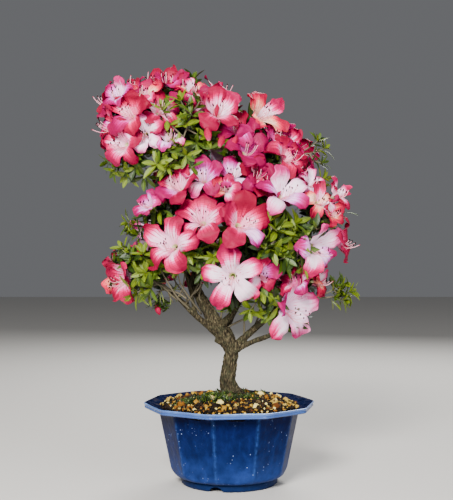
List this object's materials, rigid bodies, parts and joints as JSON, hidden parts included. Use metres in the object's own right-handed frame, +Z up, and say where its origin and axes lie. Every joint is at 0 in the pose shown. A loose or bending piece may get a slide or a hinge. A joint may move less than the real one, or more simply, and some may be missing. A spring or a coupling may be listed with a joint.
{
  "type": "azalea bonsai",
  "caption": "Flowering azalea bonsai: short forked trunk, low boughs and open masses of leaves and broad pink and white blooms, in a ten-sided blue glazed pot filled with gritty soil.",
  "frame": {"origin": "middle of the pot's flat underside, where the plant stands", "axes": "+Z up along the plant, +X to the right and -Y towards the side it is shown from"},
  "size_m": [0.2624, 0.1722, 0.4162],
  "materials": {
    "pot": "glossy cobalt glaze, paler where it thins on the edges",
    "soil": "loose pale grit with moss, matt",
    "bark": "rough grey-brown bark with lichen",
    "foliage": "soft petals and satin green leaves"
  },
  "bodies": {
    "root": {"pot": "pot", "soil": "soil", "trunk": "bark", "bough_right": "bark", "bough_low_right": "bark", "bough_centre": "bark", "bough_low_left": "bark", "bough_left": "bark", "bough_middle": "bark", "bough_middle_left": "bark", "bough_upper_right": "bark", "bough_upper_left": "bark", "bough_back_top": "bark", "bough_back_right": "bark", "bough_back_middle": "bark", "bough_back_low_left": "bark", "bough_back_low_right": "bark", "foliage_upper_left": "foliage", "foliage_top": "foliage", "foliage_upper_right": "foliage", "foliage_middle_left": "foliage", "foliage_middle": "foliage", "foliage_left": "foliage", "foliage_right": "foliage", "foliage_centre": "foliage", "foliage_low_left": "foliage", "foliage_low_right": "foliage", "foliage_back_top": "foliage", "foliage_back_right": "foliage", "foliage_back_middle": "foliage", "foliage_back_low_left": "foliage", "foliage_back_low_right": "foliage"}
  },
  "joints": []
}
